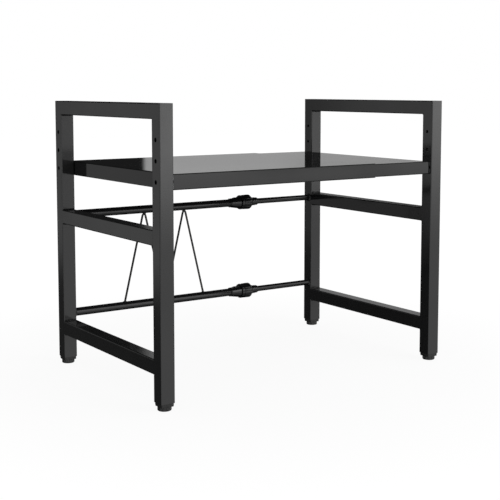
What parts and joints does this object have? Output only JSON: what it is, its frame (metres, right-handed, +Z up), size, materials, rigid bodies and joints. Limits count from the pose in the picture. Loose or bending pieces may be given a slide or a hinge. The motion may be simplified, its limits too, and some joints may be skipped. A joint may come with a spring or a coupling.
{
  "type": "extending microwave shelf",
  "caption": "Black steel worktop shelf with square-tube side frames, a sliding two-piece tray and telescoping rear rods with twist locks.",
  "frame": {"origin": "on the floor at the middle of the object's width and depth", "axes": "+X to the right seen from the front, +Y to the back where the rods are, +Z up"},
  "size_m": [0.526, 0.34, 0.428],
  "materials": {
    "powder_coat": "satin black powder coat",
    "tray_coat": "smooth semi-gloss black powder coat",
    "rod_coat": "smooth black coat",
    "lock_plastic": "glossy moulded black",
    "black_plastic": "matt moulded black",
    "plated_steel": "zinc plated",
    "black_screw": "black zinc plated screw"
  },
  "bodies": {
    "left_half": {"left_front_post": "powder_coat", "left_rear_post": "powder_coat", "left_top_rail": "powder_coat", "left_middle_rail": "powder_coat", "left_bottom_rail": "powder_coat", "left_front_end_plug": "black_plastic", "left_rear_end_plug": "black_plastic", "left_shelf_screws": "black_screw", "left_weld_nuts": "plated_steel", "outer_tray": "tray_coat", "upper_outer_tube": "rod_coat", "lower_outer_tube": "rod_coat", "upper_lock_body": "lock_plastic", "lower_lock_body": "lock_plastic", "zigzag_wire": "rod_coat"},
    "right_half": {"right_front_post": "powder_coat", "right_rear_post": "powder_coat", "right_top_rail": "powder_coat", "right_middle_rail": "powder_coat", "right_bottom_rail": "powder_coat", "right_front_end_plug": "black_plastic", "right_rear_end_plug": "black_plastic", "right_shelf_screws": "black_screw", "right_weld_nuts": "plated_steel", "inner_tray": "tray_coat", "upper_inner_tube": "rod_coat", "lower_inner_tube": "rod_coat", "upper_tube_guide": "black_plastic", "lower_tube_guide": "black_plastic"},
    "upper_lock": {"upper_lock_nut": "lock_plastic"},
    "lower_lock": {"lower_lock_nut": "lock_plastic"},
    "left_front_stud": {"left_front_foot_stud": "plated_steel"},
    "left_front_pad": {"left_front_foot_pad": "black_plastic"},
    "left_rear_stud": {"left_rear_foot_stud": "plated_steel"},
    "left_rear_pad": {"left_rear_foot_pad": "black_plastic"},
    "right_front_stud": {"right_front_foot_stud": "plated_steel"},
    "right_front_pad": {"right_front_foot_pad": "black_plastic"},
    "right_rear_stud": {"right_rear_foot_stud": "plated_steel"},
    "right_rear_pad": {"right_rear_foot_pad": "black_plastic"}
  },
  "joints": [
    {"name": "width_slide", "type": "slide", "parent": "left_half", "child": "right_half", "axis": [1, 0, 0], "range_m": [-0.11, 0.073]},
    {"name": "upper_lock_turn", "type": "hinge", "parent": "left_half", "child": "upper_lock", "pos_m": [0.0935, 0.1566, 0.244], "axis": [-1, 0, 0], "range_deg": [0, 180]},
    {"name": "lower_lock_turn", "type": "hinge", "parent": "left_half", "child": "lower_lock", "pos_m": [0.0935, 0.1566, 0.0826], "axis": [-1, 0, 0], "range_deg": [0, 180]},
    {"name": "left_front_foot_height", "type": "slide", "parent": "left_half", "child": "left_front_stud", "axis": [0, 0, -1], "range_m": [0, 0.008]},
    {"name": "left_front_foot_turn", "type": "hinge", "parent": "left_front_stud", "child": "left_front_pad", "pos_m": [-0.252, -0.159, 0.003], "axis": [0, 0, -1], "range_deg": [0, 2880]},
    {"name": "left_rear_foot_height", "type": "slide", "parent": "left_half", "child": "left_rear_stud", "axis": [0, 0, -1], "range_m": [0, 0.008]},
    {"name": "left_rear_foot_turn", "type": "hinge", "parent": "left_rear_stud", "child": "left_rear_pad", "pos_m": [-0.252, 0.159, 0.003], "axis": [0, 0, -1], "range_deg": [0, 2880]},
    {"name": "right_front_foot_height", "type": "slide", "parent": "right_half", "child": "right_front_stud", "axis": [0, 0, -1], "range_m": [0, 0.008]},
    {"name": "right_front_foot_turn", "type": "hinge", "parent": "right_front_stud", "child": "right_front_pad", "pos_m": [0.252, -0.159, 0.003], "axis": [0, 0, -1], "range_deg": [0, 2880]},
    {"name": "right_rear_foot_height", "type": "slide", "parent": "right_half", "child": "right_rear_stud", "axis": [0, 0, -1], "range_m": [0, 0.008]},
    {"name": "right_rear_foot_turn", "type": "hinge", "parent": "right_rear_stud", "child": "right_rear_pad", "pos_m": [0.252, 0.159, 0.003], "axis": [0, 0, -1], "range_deg": [0, 2880]}
  ],
  "couplings": [
    {"joint": "left_front_foot_turn", "follows": "left_front_foot_height", "rad_per_m": 6283.2},
    {"joint": "left_rear_foot_turn", "follows": "left_rear_foot_height", "rad_per_m": 6283.2},
    {"joint": "right_front_foot_turn", "follows": "right_front_foot_height", "rad_per_m": 6283.2},
    {"joint": "right_rear_foot_turn", "follows": "right_rear_foot_height", "rad_per_m": 6283.2}
  ]
}
